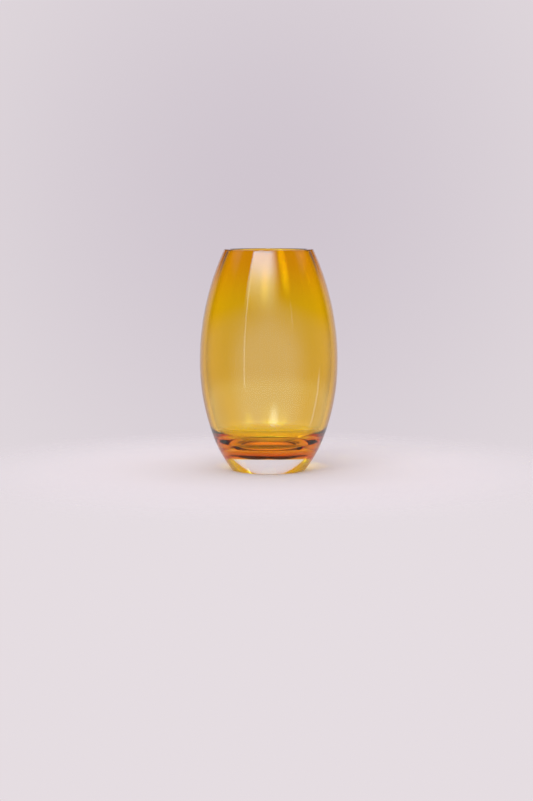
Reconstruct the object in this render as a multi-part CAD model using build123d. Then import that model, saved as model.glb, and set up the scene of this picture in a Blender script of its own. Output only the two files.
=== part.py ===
from build123d import *
import math
import os

# Barrel-shaped vase of cased glass, blown as two gathers fused over each other: a clear outer
# casing with a heavy foot, and an amber inner layer that lines the cavity.
# Millimetres. The origin is the centre of the foot's ring, and +Z is up the vase's axis.

# Outside of the casing
HEIGHT = 200.0
BELLY_RADIUS = 62.4
BELLY_HEIGHT = 99.0
SHOULDER_ARC = 239.5       # radius of the outline above the belly
BODY_ARC = 196.5           # radius of the outline below the belly
HEEL_HEIGHT = 30.0         # where the outline starts to turn in towards the foot
FOOT_RADIUS = 33.0         # where the heel would meet the table, before its edge is rounded
FOOT_ROUNDING = 1.2
HOLLOW_RADIUS = 29.0       # the underside is slightly hollow, so the vase stands on a ring
HOLLOW_DEPTH = 1.2

# Glass thicknesses
WALL = 5.2                 # both layers together
AMBER_WALL = 2.0           # amber layer alone, the same all over
RIM_ROUNDING = 0.7

# Bottom of the cavity
CAVITY_FLOOR = 22.2        # height of its lowest point
CAVITY_BEND = 26.0         # radius of the bend between its wall and its floor
CAVITY_DISH = 250.0        # radius of its shallow dished floor


def wall_radius(height, inset):
    """Radius of the outline at a height, moved into the glass by inset."""
    arc = SHOULDER_ARC if height > BELLY_HEIGHT else BODY_ARC
    rise = height - BELLY_HEIGHT
    return BELLY_RADIUS - arc + math.sqrt((arc - inset) ** 2 - rise ** 2)


def barrel_edges(inset, bottom):
    """The barrel's outline, moved into the glass by inset, from the rim down to bottom."""
    def point(height):
        return (wall_radius(height, inset), height)

    shoulder = ThreePointArc(point(HEIGHT), point((HEIGHT + BELLY_HEIGHT) / 2), point(BELLY_HEIGHT))
    body = ThreePointArc(point(BELLY_HEIGHT), point((BELLY_HEIGHT + bottom) / 2), point(bottom))
    return [shoulder, body]


def below_horizontal(way):
    return math.degrees(math.atan2(-way.Y, way.X))


def bowl_edges(depth):
    """The cavity's outline moved into the glass by depth: the wall, a bend and a dished floor."""
    wall_centre = Vector(BELLY_RADIUS - BODY_ARC, BELLY_HEIGHT)
    dish_centre = Vector(0, CAVITY_FLOOR + CAVITY_DISH)
    # The bend touches the arcs of the wall and the dish, so its centre is this far from theirs.
    from_wall = BODY_ARC - WALL - CAVITY_BEND
    from_dish = CAVITY_DISH - CAVITY_BEND
    span = dish_centre - wall_centre
    along = (from_wall ** 2 - from_dish ** 2 + span.length ** 2) / (2 * span.length)
    across = math.sqrt(from_wall ** 2 - along ** 2)
    unit = span.normalized()
    centre = wall_centre + unit * along + Vector(unit.Y, -unit.X) * across

    start = below_horizontal(centre - wall_centre)
    end = below_horizontal(centre - dish_centre)
    bend = CenterArc(centre, CAVITY_BEND + depth, -start, start - end)
    dish = CenterArc(dish_centre, CAVITY_DISH + depth, -end, end - 90)
    return barrel_edges(WALL - depth, (bend @ 0).Y) + [bend, dish]


def lathe(edges):
    """A solid of revolution from the closed outline of its right half."""
    return revolve(Plane.XZ * make_face(edges), Axis.Z)


def rounded(solid, radius, height, ring_radius):
    """The solid with the circular edge nearest to a height and radius rounded."""
    def miss(edge):
        return abs(edge.arc_center.Z - height) + abs(edge.radius - ring_radius)

    ring = min(solid.edges().filter_by(GeomType.CIRCLE), key=miss)
    return fillet(ring, radius)


def casing():
    """Clear outer layer: the whole outside, the heavy base and the outer part of the rim."""
    barrel = barrel_edges(0.0, HEEL_HEIGHT)
    heel = TangentArc(barrel[-1] @ 1, (FOOT_RADIUS, 0), tangent=barrel[-1] % 1)
    foot = Line(heel @ 1, (HOLLOW_RADIUS, 0))
    hollow = TangentArc((0, HOLLOW_DEPTH), foot @ 1, tangent=(1, 0))
    bowl = bowl_edges(AMBER_WALL)
    axis = Line(hollow @ 0, bowl[-1] @ 1)
    rim = Line(barrel[0] @ 0, bowl[0] @ 0)
    solid = lathe(barrel + [heel, foot, hollow, axis, rim] + bowl)
    solid = rounded(solid, FOOT_ROUNDING, 0.0, FOOT_RADIUS)
    return rounded(solid, RIM_ROUNDING, HEIGHT, wall_radius(HEIGHT, 0.0))


def lining():
    """Amber inner layer: lines the cavity, and forms the inner part of the rim."""
    outside = bowl_edges(AMBER_WALL)
    inside = bowl_edges(0.0)
    rim = Line(outside[0] @ 0, inside[0] @ 0)
    axis = Line(outside[-1] @ 1, inside[-1] @ 1)
    solid = lathe(outside + inside + [rim, axis])
    return rounded(solid, RIM_ROUNDING, HEIGHT, wall_radius(HEIGHT, WALL))


os.makedirs("parts", exist_ok=True)
export_step(casing(), "parts/clear_outer_casing.step")
export_step(lining(), "parts/amber_inner_layer.step")
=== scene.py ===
import math
from types import SimpleNamespace

import bpy
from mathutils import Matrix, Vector


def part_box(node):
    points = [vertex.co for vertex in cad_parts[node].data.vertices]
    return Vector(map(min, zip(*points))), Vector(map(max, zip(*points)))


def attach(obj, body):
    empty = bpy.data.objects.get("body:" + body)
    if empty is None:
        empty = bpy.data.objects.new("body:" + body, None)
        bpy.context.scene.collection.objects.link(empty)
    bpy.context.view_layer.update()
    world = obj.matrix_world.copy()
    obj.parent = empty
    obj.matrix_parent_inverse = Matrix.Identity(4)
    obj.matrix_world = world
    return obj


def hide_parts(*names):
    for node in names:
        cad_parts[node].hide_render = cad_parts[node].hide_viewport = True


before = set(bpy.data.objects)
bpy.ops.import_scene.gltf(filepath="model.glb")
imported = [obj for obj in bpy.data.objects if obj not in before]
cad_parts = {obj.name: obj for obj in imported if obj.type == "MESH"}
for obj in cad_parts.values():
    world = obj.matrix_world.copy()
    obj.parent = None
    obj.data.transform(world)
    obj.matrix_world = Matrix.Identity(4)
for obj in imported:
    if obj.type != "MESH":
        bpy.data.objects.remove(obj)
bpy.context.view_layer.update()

MM = 0.001

# Outline of the glass, in metres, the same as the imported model's
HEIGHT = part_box("clear_outer_casing")[1].z
BELLY_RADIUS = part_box("clear_outer_casing")[1].x
BELLY_HEIGHT = 99.0 * MM
SHOULDER_ARC = 239.5 * MM
BODY_ARC = 196.5 * MM
HEEL_HEIGHT = 30.0 * MM
FOOT_RADIUS = 33.0 * MM
FOOT_ROUNDING = 1.2 * MM
RECESS_RADIUS = 29.0 * MM
RECESS_DEPTH = 1.2 * MM
WALL = 5.2 * MM
AMBER_WALL = 2.0 * MM
RIM_ROUNDING = 0.7 * MM
CAVITY_FLOOR = 22.2 * MM
CAVITY_BEND = 26.0 * MM       # radius of the bend between the cavity's wall and floor
CAVITY_DISH = 250.0 * MM      # radius of the shallow dished floor
SKIN = 0.02 * MM              # clear skin left between the amber layer and the air

# Air seeds in the casing's wall: azimuth in degrees from -Y towards +X, height, radius
SEEDS = ((17.8, 118.0 * MM, 0.45 * MM), (30.7, 88.0 * MM, 0.40 * MM))
SEED_DEPTH = 1.6 * MM
SEED_POLE_GAP = 0.02          # share of the half turn left out at each pole of a seed

# How many pieces a stretch of an outline, or a whole turn, is divided into
WALL_STEPS = 90
BEND_STEPS = 40
DISH_STEPS = 16
HEEL_STEPS = 24
HOLLOW_STEPS = 24
FLAT_STEPS = 6
AMBER_RIM_STEPS = 4
ROUNDING_STEPS = 8
TURN_STEPS = 288
ROUNDING_MARGIN = 1.05        # points nearer to a rounded corner than this times its cut are dropped
NEARLY_STRAIGHT = 1e-9
ON_AXIS = 1e-7

# Glass. Colours are linear
GLASS_IOR = 1.5
AMBER_IOR = 1.0               # light bends only at the casing's surfaces
AMBER_ABSORPTION = (10.0, 65.0, 1100.0)   # per metre
BELLY_TINT = (0.988, 0.874, 0.95)
RIM_TINT = (0.985, 0.705, 0.70)
TINT_RISE = (0.145, 0.200)    # heights between which the belly's tint turns into the rim's
CLEAR_TINT = (0.962, 0.954, 0.958)
EDGE_PAINTED_SHADE = (0.40, 0.39, 0.36)            # the casing darkened where it is seen edge on: painted shade for its dark outline
# facings between which the painted edge shade comes in
EDGE_SHADE_FACING = (0.52, 0.88)
REFLECTION_TINT = (1.0, 0.95, 0.7)
RIPPLE = (45.0, 45.0, 4.0)    # ripples per metre across and along the glass
RIPPLE_DETAIL = 1.5
RIPPLE_DEPTH = 0.08 * MM

# The studio, by direction. Angles are in degrees: azimuth from the camera's side, elevation from the
# horizon. A pair runs from where a thing isn't there yet to where it is at full strength.
# First the plain part, which is all that the camera and the floor see
WALL_TONE = (0.631, 0.565, 0.624)
ROOM_TONE = (0.745, 0.686, 0.720)
LOW_TONE = (0.785, 0.722, 0.757)
WALL_SPREAD = (0.0, 12.0)     # off straight behind the vase, where the wall turns into the room's tone
GROUND_EDGE = (-7.0, -8.6)
LAMP_TONE = (2.4, 2.5, 2.5)

# The softbox, which is the lamp as the glass sees it: bluer and brighter
SOFTBOX_TONE = (4.1, 7.9, 16.5)
SOFTBOX_LOW_TONE = (4.0, 6.6, 8.2)
SOFTBOX_TONE_RISE = (30.0, 44.0)
SOFTBOX_LEFT = (-49.0, -45.0)
SOFTBOX_RIGHT = (28.0, -2.0)
SOFTBOX_LOW = (17.0, 42.0)
SOFTBOX_TOP = (53.0, 49.0)

# The warm ceiling. The skylight is a gap in it, high up on both sides
CEILING_TONE = (0.85, 0.60, 0.01)
CEILING_FRONT = 29.0          # elevation of its edge above the camera
CEILING_FALL = 0.215          # how much lower the edge is for each degree to the side
CEILING_SOFT = (-4.5, 5.0)    # measured from its edge
CEILING_ENDS = (140.0, 122.0)
SKYLIGHT_SIDES = (72.0, 90.0)
SKYLIGHT_LOW = (24.0, 34.0)

# Dark things behind the vase: a faint shade low down on both sides, and the strip that draws the
# line under the amber. Their darkness is from 0 to 1
DARK_LEVEL = 0.03             # the light left where the darkness is 1
SHADE_SIDE = (148.0, 160.0)
SHADE_BACK = (178.0, 171.0)
SHADE_TOP = (-3.0, -8.0)
SHADE_DARKNESS = 0.3
LINE_SIDES = (134.0, 146.0)
LINE_LOW = (6.0, 13.0)
LINE_TOP = (24.4, 23.2)
LINE_RISE = 0.16              # how much higher its top is for each degree away from straight behind
LINE_DARKNESS = 0.9

# Lights that only mirrored rays see: a veil below the ceiling, flanks and wings beside it, and strips
VEIL_TONE = (1.1, 1.6, 2.6)
VEIL_SIDES = (80.0, 30.0)
VEIL_TOP = (4.0, -20.0)       # measured from the ceiling's edge
VEIL_LOW = (-46.0, -38.0)
FLANK_TONE = (0.0, 0.0, 0.3)
FLANK_SIDES = (135.0, 70.0)
WING_TONE = (1.2, 1.3, 0.9)
WING_SIDES = (150.0, 105.0)
WING_TOP = (-8.0, -16.0)
STRIP_TONE = (2.6, 3.6, 5.6)
STRIP_SOFT = 8.0              # how far a strip's ends fade
STRIPS = (                    # azimuth, half width, lowest and highest elevation, level
    (-41.0, 1.6, -20.0, 36.0, 1.0),
    (17.0, 1.2, -8.0, 10.0, 0.5),
    (42.0, 1.5, 8.0, 25.0, 0.5),
    (93.0, 3.0, -35.0, -4.0, 0.6),
    (-13.0, 1.5, -22.0, 16.0, 0.16),
    (3.0, 2.5, -26.0, 12.0, 0.12),
    (29.0, 2.0, -20.0, 8.0, 0.15),
)

# Round glows: azimuth and elevation of the middle, and how far from it they reach
LOW_GLOW_TONE = (2.6, 4.0, 6.6)
LOW_GLOW_AT = (10.0, -35.0)
LOW_GLOW_REACH = (13.0, 2.0)
BENT_GLOW_TONE = (5.5, 9.0, 0.5)          # only bent rays see this one
BENT_GLOW_AT = (-44.0, -42.0)
BENT_GLOW_REACH = (16.0, 5.0)

# The floor, and the warm patch painted on it where the vase would gather light
FLOOR_TONE = (0.96, 0.93, 0.96)
FLOOR_RADIUS = 1.0
FLOOR_DROP = 0.05 * MM        # how far it lies below the foot
FLOOR_FADE = (0.12, 0.34)     # how far out it fades away
FLOOR_END = (0.10, 0.13)      # the same for rays that the glass mirrors or bends
CAUSTIC_TONE = (0.62, 0.42, 0.05)
CAUSTIC_AT = (0.003, 0.028, 0.0)
CAUSTIC_SIZE = (0.056, 0.015)

CAMERA_DISTANCE = 1.902
CAMERA_HEIGHT = 0.2456
CAMERA_PITCH = math.radians(5.48)
CAMERA_YAW = math.radians(0.0612)
LENS = 94.74                  # millimetres, as is the sensor
SENSOR = 36
GLASS_BOUNCES = 40
MIRROR_BOUNCES = 12


# ---------------------------------------------------------------- outlines

def arc_from(start, heading, end, count):
    """Points of the arc that leaves start along heading and ends at end, start left out."""
    start, end = Vector(start), Vector(end)
    heading = Vector(heading).normalized()
    side = Vector((-heading.y, heading.x))
    chord = end - start
    across = chord.dot(side)
    if abs(across) < NEARLY_STRAIGHT:
        return [tuple(start.lerp(end, (i + 1) / count)) for i in range(count)]
    radius = chord.length_squared / (2 * across)
    centre = start + side * radius
    turn = 2 * math.atan2(across, chord.dot(heading))
    arm = start - centre
    points = []
    for i in range(count):
        angle = turn * (i + 1) / count
        c, s = math.cos(angle), math.sin(angle)
        points.append((centre.x + arm.x * c - arm.y * s, centre.y + arm.x * s + arm.y * c))
    return points


def sweep(centre, radius, first, last, count):
    """Points of an arc between two angles below the horizontal, the first left out."""
    angles = [first + (last - first) * (i + 1) / count for i in range(count)]
    return [(centre.x + radius * math.cos(a), centre.y - radius * math.sin(a)) for a in angles]


def line(start, end, count):
    """Points of a straight line, start left out."""
    shares = [(i + 1) / count for i in range(count)]
    return [(start[0] + (end[0] - start[0]) * s, start[1] + (end[1] - start[1]) * s) for s in shares]


def rounded(first, second, radius):
    """first and then second, the corner between them rounded. second leaves its first point out."""
    corner = Vector(first[-1])
    back = (Vector(first[-2]) - corner).normalized()
    on = (Vector(second[0]) - corner).normalized()
    half = math.acos(max(-1, min(1, back.dot(on)))) / 2
    cut = radius / math.tan(half)
    start = corner + back * cut
    end = corner + on * cut
    before = [p for p in first if (Vector(p) - corner).length > cut * ROUNDING_MARGIN]
    after = [p for p in second if (Vector(p) - corner).length > cut * ROUNDING_MARGIN]
    return before + [tuple(start)] + arc_from(start, -back, end, ROUNDING_STEPS) + after


def wall_radius(height, inset):
    """Radius of the barrel's outline at a height, moved into the glass by inset."""
    arc = SHOULDER_ARC if height > BELLY_HEIGHT else BODY_ARC
    rise = height - BELLY_HEIGHT
    return BELLY_RADIUS - arc + math.sqrt((arc - inset) ** 2 - rise ** 2)


def barrel(inset, bottom):
    """The barrel's outline moved into the glass by inset, from the rim down to bottom."""
    heights = [HEIGHT + (bottom - HEIGHT) * i / WALL_STEPS for i in range(WALL_STEPS + 1)]
    return [(wall_radius(z, inset), z) for z in heights]


def below(way):
    """The angle of a direction below the horizontal."""
    return math.atan2(-way.y, way.x)


def bowl(depth):
    """The inside of the vase moved outward by depth: barrel wall, a bend, and a shallow dished floor."""
    wall_centre = Vector((BELLY_RADIUS - BODY_ARC, BELLY_HEIGHT))
    dish_centre = Vector((0, CAVITY_FLOOR + CAVITY_DISH))
    bend = CAVITY_BEND + depth
    dish_arc = CAVITY_DISH + depth
    # The bend touches the arcs of the wall and the dish, so its centre is this far from theirs
    from_wall = BODY_ARC - WALL + depth - bend
    from_dish = dish_arc - bend
    span = dish_centre - wall_centre
    along = (from_wall ** 2 - from_dish ** 2 + span.length_squared) / (2 * span.length)
    across = math.sqrt(from_wall ** 2 - along ** 2)
    unit = span.normalized()
    bend_centre = wall_centre + unit * along + Vector((unit.y, -unit.x)) * across
    first = below(bend_centre - wall_centre)
    last = below(bend_centre - dish_centre)
    wall = barrel(WALL - depth, bend_centre.y - bend * math.sin(first))
    corner = sweep(bend_centre, bend, first, last, BEND_STEPS)
    dish = sweep(dish_centre, dish_arc, last, math.pi / 2, DISH_STEPS)
    return wall + corner + dish


def outside():
    """The outside from the rim down: barrel, heel, foot ring and the hollow underside."""
    wall = barrel(0.0, HEEL_HEIGHT)
    lean = math.asin((BELLY_HEIGHT - HEEL_HEIGHT) / BODY_ARC)
    heel = arc_from(wall[-1], (-math.sin(lean), -math.cos(lean)), (FOOT_RADIUS, 0), HEEL_STEPS)
    ring = line(heel[-1], (RECESS_RADIUS, 0), FLAT_STEPS)
    hollow_arc = (RECESS_RADIUS ** 2 + RECESS_DEPTH ** 2) / (2 * RECESS_DEPTH)
    hollow_centre = Vector((0, RECESS_DEPTH - hollow_arc))
    steep = math.asin(RECESS_RADIUS / hollow_arc)
    hollow = sweep(hollow_centre, hollow_arc, steep - math.pi / 2, -math.pi / 2, HOLLOW_STEPS)
    return rounded(wall + heel, ring + hollow, FOOT_ROUNDING)


# ---------------------------------------------------------------- meshes

def lathe(name, outline, seeds=()):
    """A closed mesh: the outline, from the axis back to the axis, turned about Z, and seeds in its wall."""
    verts, faces, rings = [], [], []
    for r, z in outline:
        if r < ON_AXIS:
            rings.append([len(verts)])
            verts.append((0, 0, z))
            continue
        rings.append(list(range(len(verts), len(verts) + TURN_STEPS)))
        for i in range(TURN_STEPS):
            a = 2 * math.pi * i / TURN_STEPS
            verts.append((r * math.cos(a), r * math.sin(a), z))
    for lower, upper in zip(rings, rings[1:]):
        for i in range(TURN_STEPS):
            j = (i + 1) % TURN_STEPS
            if len(lower) == 1:
                faces.append((lower[0], upper[j], upper[i]))
            elif len(upper) == 1:
                faces.append((lower[i], lower[j], upper[0]))
            else:
                faces.append((lower[i], lower[j], upper[j], upper[i]))
    for azimuth, height, size in seeds:
        add_seed(verts, faces, azimuth, height, size)
    mesh = bpy.data.meshes.new(name)
    mesh.from_pydata(verts, [], faces)
    mesh.update()
    mesh.polygons.foreach_set("use_smooth", [True] * len(mesh.polygons))
    piece = bpy.data.objects.new(name, mesh)
    bpy.context.scene.collection.objects.link(piece)
    return piece


def add_seed(verts, faces, azimuth, height, size, around=16, rows=8):
    """A small ball of air: a sphere whose faces look inward."""
    reach = wall_radius(height, SEED_DEPTH)
    turn = math.radians(azimuth)
    centre = Vector((reach * math.sin(turn), -reach * math.cos(turn), height))
    base = len(verts)
    for j in range(rows + 1):
        slope = math.pi * (SEED_POLE_GAP + (1 - 2 * SEED_POLE_GAP) * j / rows) - math.pi / 2
        flat, up = math.cos(slope), math.sin(slope)
        for i in range(around):
            a = 2 * math.pi * i / around
            verts.append(tuple(centre + Vector((flat * math.cos(a), flat * math.sin(a), up)) * size))
    for j in range(rows):
        for i in range(around):
            k = (i + 1) % around
            faces.append((base + j * around + i, base + (j + 1) * around + i,
                          base + (j + 1) * around + k, base + j * around + k))
    faces.append(tuple(base + i for i in range(around)))
    faces.append(tuple(base + rows * around + i for i in reversed(range(around))))


def glass_body():
    """Every surface where glass meets air: the casing's outside, the rim and the cavity."""
    out = outside()
    out.reverse()                         # axis at the foot, up to the rim
    cavity = bowl(0.0)
    top = line(out[-1], cavity[0], FLAT_STEPS)
    outline = rounded(out, top, RIM_ROUNDING)
    outline = rounded(outline, cavity[1:], RIM_ROUNDING)
    return lathe("clear_casing", outline, seeds=SEEDS)


def amber_body():
    """The amber layer, a hair inside the glass on its cavity side and at the rim."""
    def under_rim(outline):
        return [(r, min(z, HEIGHT - SKIN)) for r, z in outline]

    out = under_rim(reversed(bowl(AMBER_WALL)))
    inside = under_rim(bowl(SKIN))
    top = line(out[-1], inside[0], AMBER_RIM_STEPS)
    outline = rounded(out + top, inside[1:], RIM_ROUNDING)
    return lathe("amber_layer", outline)


# ---------------------------------------------------------------- node trees

class Graph:
    """An empty node tree, and short calls for the nodes that this script uses."""

    def __init__(self, tree):
        self.nodes, self.links = tree.nodes, tree.links
        self.nodes.clear()

    def add(self, kind, operation=None):
        node = self.nodes.new("ShaderNode" + kind)
        if operation:
            node.operation = operation
        return node

    def feed(self, socket, value):
        """Links a socket to another, or sets it to a number, a vector or a colour."""
        if isinstance(value, bpy.types.NodeSocket):
            self.links.new(value, socket)
        elif socket.type == "RGBA":
            socket.default_value = value + (1,)
        else:
            socket.default_value = value

    def maths(self, operation, a, b=None):
        node = self.add("Math", operation)
        self.feed(node.inputs[0], a)
        if b is not None:
            self.feed(node.inputs[1], b)
        return node.outputs[0]

    def minus(self, a, b):
        return self.maths("SUBTRACT", a, b)

    def product(self, *factors):
        result = factors[0]
        for factor in factors[1:]:
            result = self.maths("MULTIPLY", result, factor)
        return result

    def smooth(self, value, low, high, to_low=0.0, to_high=1.0):
        """A smooth step of a value between low and high."""
        node = self.add("MapRange")
        node.interpolation_type = "SMOOTHSTEP"
        self.feed(node.inputs["Value"], value)
        self.feed(node.inputs["From Min"], low)
        self.feed(node.inputs["From Max"], high)
        self.feed(node.inputs["To Min"], to_low)
        self.feed(node.inputs["To Max"], to_high)
        return node.outputs["Result"]

    def mix(self, factor, a, b):
        node = self.add("Mix")
        node.data_type = "RGBA"
        self.feed(node.inputs["Factor"], factor)
        self.feed(node.inputs["A"], a)
        self.feed(node.inputs["B"], b)
        return node.outputs["Result"]

    def scale(self, colour, level):
        node = self.add("VectorMath", "SCALE")
        self.feed(node.inputs[0], colour)
        self.feed(node.inputs["Scale"], level)
        return node.outputs[0]

    def total(self, *parts):
        """The sum of colours, each times its level."""
        result = self.scale(*parts[0])
        for part in parts[1:]:
            node = self.add("VectorMath", "ADD")
            self.feed(node.inputs[0], result)
            self.feed(node.inputs[1], self.scale(*part))
            result = node.outputs[0]
        return result

    def distance(self, place, centre):
        node = self.add("VectorMath", "DISTANCE")
        self.feed(node.inputs[0], place)
        self.feed(node.inputs[1], centre)
        return node.outputs["Value"]


# ---------------------------------------------------------------- materials

def new_material(name):
    mat = bpy.data.materials.new(name)
    mat.use_nodes = True
    graph = Graph(mat.node_tree)
    return mat, graph, graph.add("OutputMaterial")


def glass_shader(graph, out, ior):
    """A smooth, fully transparent shader."""
    shader = graph.add("BsdfPrincipled")
    shader.inputs["Transmission Weight"].default_value = 1.0
    shader.inputs["Roughness"].default_value = 0.0
    shader.inputs["IOR"].default_value = ior
    graph.feed(out.inputs["Surface"], shader.outputs["BSDF"])
    return shader


def clear_glass():
    """Clear glass with faint upright ripples, darkened where it is seen edge on: painted shade that draws a
    dark outline.
    """
    mat, graph, out = new_material("clear_glass")
    shader = glass_shader(graph, out, GLASS_IOR)
    shader.inputs["Specular Tint"].default_value = REFLECTION_TINT + (1,)
    bump = graph.add("Bump")
    bump.inputs["Strength"].default_value = 1.0
    bump.inputs["Distance"].default_value = RIPPLE_DEPTH
    graph.feed(bump.inputs["Height"], ripples(graph))
    graph.feed(shader.inputs["Normal"], bump.outputs["Normal"])
    # Painted shade: the base colour darkens towards the silhouette to draw a dark outline
    facing = graph.smooth(graph.add("LayerWeight").outputs["Facing"], *EDGE_SHADE_FACING)
    graph.feed(shader.inputs["Base Color"], graph.mix(facing, CLEAR_TINT, EDGE_PAINTED_SHADE))
    return mat


def ripples(graph):
    """Noise drawn out along the vase's height."""
    stretch = graph.add("Mapping")
    graph.feed(stretch.inputs["Vector"], graph.add("TexCoord").outputs["Object"])
    graph.feed(stretch.inputs["Scale"], RIPPLE)
    noise = graph.add("TexNoise")
    graph.feed(noise.inputs["Vector"], stretch.outputs[0])
    graph.feed(noise.inputs["Scale"], 1.0)
    graph.feed(noise.inputs["Detail"], RIPPLE_DETAIL)
    return noise.outputs[0]


def amber_glass():
    """Amber glass that absorbs along the light's way, with a tint that deepens towards the rim."""
    mat, graph, out = new_material("amber_glass")
    shader = glass_shader(graph, out, AMBER_IOR)
    split = graph.add("SeparateXYZ")
    graph.feed(split.inputs[0], graph.add("TexCoord").outputs["Object"])
    rise = graph.smooth(split.outputs["Z"], *TINT_RISE)
    graph.feed(shader.inputs["Base Color"], graph.mix(rise, BELLY_TINT, RIM_TINT))
    absorb = graph.add("VolumeAbsorption")
    density = max(AMBER_ABSORPTION)
    absorb.inputs["Density"].default_value = density
    absorb.inputs["Color"].default_value = tuple(1 - a / density for a in AMBER_ABSORPTION) + (1,)
    graph.feed(out.inputs["Volume"], absorb.outputs["Volume"])
    return mat


# ---------------------------------------------------------------- studio

def look_direction(graph):
    """Sockets that say where a ray looks, in degrees: azimuth, how far aside that is, elevation, how
    far off straight behind the vase, and how far above the ceiling's edge."""
    split = graph.add("SeparateXYZ")
    graph.feed(split.inputs[0], graph.add("TexCoord").outputs["Generated"])
    x, y, z = split.outputs
    degrees = math.degrees(1)
    azimuth = graph.product(graph.maths("ARCTAN2", x, graph.product(y, -1.0)), degrees)
    elevation = graph.product(graph.maths("ARCSINE", z), degrees)
    behind = graph.product(graph.maths("ARCCOSINE", y), degrees)
    aside = graph.maths("ABSOLUTE", azimuth)
    ceiling_edge = graph.minus(CEILING_FRONT, graph.product(aside, CEILING_FALL))
    return SimpleNamespace(azimuth=azimuth, aside=aside, elevation=elevation, behind=behind,
                           above=graph.minus(elevation, ceiling_edge))


def ceiling(graph, look):
    skylight = graph.product(graph.smooth(look.aside, *SKYLIGHT_SIDES),
                             graph.smooth(look.elevation, *SKYLIGHT_LOW))
    return graph.product(graph.smooth(look.aside, *CEILING_ENDS),
                         graph.smooth(look.above, *CEILING_SOFT),
                         graph.minus(1.0, skylight))


def light_left(graph, look):
    """How much light the dark things behind the vase leave."""
    shade = graph.product(graph.smooth(look.aside, *SHADE_SIDE),
                          graph.smooth(look.aside, *SHADE_BACK),
                          graph.smooth(look.elevation, *SHADE_TOP), SHADE_DARKNESS)
    rise = graph.product(graph.minus(180.0, look.aside), LINE_RISE)
    strip = graph.product(graph.smooth(look.aside, *LINE_SIDES),
                          graph.smooth(look.elevation, *LINE_LOW),
                          graph.smooth(graph.minus(look.elevation, rise), *LINE_TOP), LINE_DARKNESS)
    return graph.smooth(graph.maths("MAXIMUM", shade, strip), 0.0, 1.0, 1.0, DARK_LEVEL)


def softbox_level(graph, look):
    return graph.product(graph.smooth(look.azimuth, *SOFTBOX_LEFT),
                         graph.smooth(look.azimuth, *SOFTBOX_RIGHT),
                         graph.smooth(look.elevation, *SOFTBOX_LOW),
                         graph.smooth(look.elevation, *SOFTBOX_TOP))


def glow(graph, look, at, reach):
    squares = [graph.maths("POWER", graph.minus(angle, middle), 2.0)
               for angle, middle in zip((look.azimuth, look.elevation), at)]
    return graph.smooth(graph.maths("SQRT", graph.maths("ADD", *squares)), *reach)


def mirrored_lights(graph, look):
    """The veil, the wings and flanks beside it, and the strips."""
    low = graph.smooth(look.elevation, *VEIL_LOW)
    top = graph.smooth(look.above, *VEIL_TOP)
    wing_top = graph.smooth(look.elevation, *WING_TOP)
    lights = [(VEIL_TONE, graph.product(graph.smooth(look.aside, *VEIL_SIDES), top, low)),
              (WING_TONE, graph.product(graph.smooth(look.aside, *WING_SIDES), wing_top, low)),
              (FLANK_TONE, graph.product(graph.smooth(look.aside, *FLANK_SIDES), top, low))]
    for azimuth, half_width, lowest, highest, level in STRIPS:
        off = graph.maths("ABSOLUTE", graph.minus(look.azimuth, azimuth))
        strip = graph.product(graph.smooth(off, half_width, 0.0),
                              graph.smooth(look.elevation, lowest, lowest + STRIP_SOFT),
                              graph.smooth(look.elevation, highest, highest - STRIP_SOFT), level)
        lights.append((STRIP_TONE, strip))
    return graph.total(*lights)


def studio():
    """The world by direction. Floor and camera see a plain wall, ground and soft lamp. The glass also
    mirrors and bends a warm ceiling, a bluish softbox, glows and dark strips, which shape its look."""
    world = bpy.data.worlds.new("studio")
    bpy.context.scene.world = world
    world.use_nodes = True
    graph = Graph(world.node_tree)
    look = look_direction(graph)

    wall = graph.mix(graph.smooth(look.behind, *WALL_SPREAD), WALL_TONE, ROOM_TONE)
    ground = graph.mix(graph.smooth(look.elevation, *GROUND_EDGE), wall, LOW_TONE)
    softbox = softbox_level(graph, look)
    plain = graph.total((ground, 1.0), (LAMP_TONE, softbox))

    # A bent ray counts as a glossy one too, so a mirrored ray is a glossy one that isn't bent
    path = graph.add("LightPath")
    bent = path.outputs["Is Transmission Ray"]
    mirrored = graph.product(path.outputs["Is Glossy Ray"], graph.minus(1.0, bent))
    room = graph.mix(ceiling(graph, look), ground, CEILING_TONE)
    softbox_rise = graph.smooth(look.elevation, *SOFTBOX_TONE_RISE)
    bent_glow = graph.product(glow(graph, look, BENT_GLOW_AT, BENT_GLOW_REACH), bent)
    seen = graph.total((room, light_left(graph, look)),
                       (graph.mix(softbox_rise, SOFTBOX_LOW_TONE, SOFTBOX_TONE), softbox),
                       (LOW_GLOW_TONE, glow(graph, look, LOW_GLOW_AT, LOW_GLOW_REACH)),
                       (mirrored_lights(graph, look), mirrored),
                       (BENT_GLOW_TONE, bent_glow))

    back = graph.add("Background")
    by_glass = graph.maths("MAXIMUM", mirrored, bent)
    graph.feed(back.inputs["Color"], graph.mix(by_glass, plain, seen))
    graph.feed(graph.add("OutputWorld").inputs["Surface"], back.outputs[0])


# ---------------------------------------------------------------- floor and camera

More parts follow.
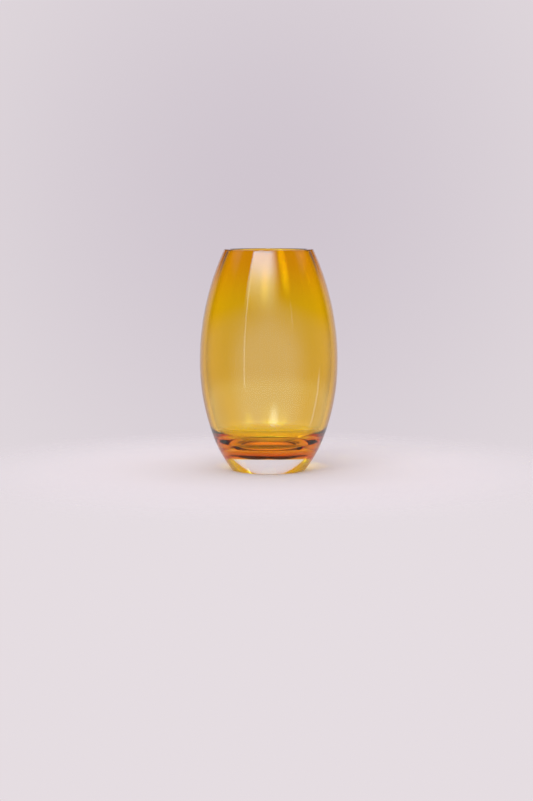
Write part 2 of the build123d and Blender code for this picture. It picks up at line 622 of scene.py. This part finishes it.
def floor():
    """A pale floor that fades into the room's tone, with a warm patch behind the foot."""
    bpy.ops.mesh.primitive_circle_add(vertices=96, radius=FLOOR_RADIUS, fill_type="NGON",
                                      location=(0, 0, -FLOOR_DROP))
    piece = bpy.context.object
    piece.name = "floor"
    mat, graph, out = new_material("floor")
    place = graph.add("NewGeometry").outputs["Position"]
    pale = graph.add("BsdfDiffuse")
    graph.feed(pale.inputs["Color"], FLOOR_TONE)
    caustic = graph.add("Emission")
    graph.feed(caustic.inputs["Color"], CAUSTIC_TONE)
    patch = graph.smooth(graph.distance(place, CAUSTIC_AT), *CAUSTIC_SIZE)
    graph.feed(caustic.inputs["Strength"], patch)
    lit = graph.add("AddShader")
    graph.feed(lit.inputs[0], pale.outputs[0])
    graph.feed(lit.inputs[1], caustic.outputs[0])

    away = graph.distance(place, (0, 0, 0))
    path = graph.add("LightPath").outputs
    by_glass = graph.maths("MAXIMUM", path["Is Glossy Ray"], path["Is Transmission Ray"])
    ends = graph.product(by_glass, graph.smooth(away, *FLOOR_END))
    fade = graph.add("MixShader")
    graph.feed(fade.inputs[0], graph.maths("MAXIMUM", graph.smooth(away, *FLOOR_FADE), ends))
    graph.feed(fade.inputs[1], lit.outputs[0])
    graph.feed(fade.inputs[2], graph.add("BsdfTransparent").outputs[0])
    graph.feed(out.inputs["Surface"], fade.outputs[0])
    piece.data.materials.append(mat)


def camera():
    data = bpy.data.cameras.new("camera")
    data.lens = LENS
    data.sensor_width = SENSOR
    piece = bpy.data.objects.new("camera", data)
    bpy.context.scene.collection.objects.link(piece)
    piece.location = (0, -CAMERA_DISTANCE, CAMERA_HEIGHT)
    piece.rotation_euler = (math.pi / 2 - CAMERA_PITCH, 0, CAMERA_YAW)
    bpy.context.scene.camera = piece


body = glass_body()
body.data.materials.append(clear_glass())
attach(body, "root")
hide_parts("clear_outer_casing")

amber = amber_body()
amber.data.materials.append(amber_glass())
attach(amber, "root")
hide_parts("amber_inner_layer")

studio()
floor()
camera()

scene = bpy.context.scene
scene.view_settings.view_transform = "Standard"
scene.cycles.max_bounces = GLASS_BOUNCES
scene.cycles.transmission_bounces = GLASS_BOUNCES
scene.cycles.transparent_max_bounces = GLASS_BOUNCES
scene.cycles.glossy_bounces = MIRROR_BOUNCES
scene.cycles.caustics_reflective = True
scene.cycles.caustics_refractive = True
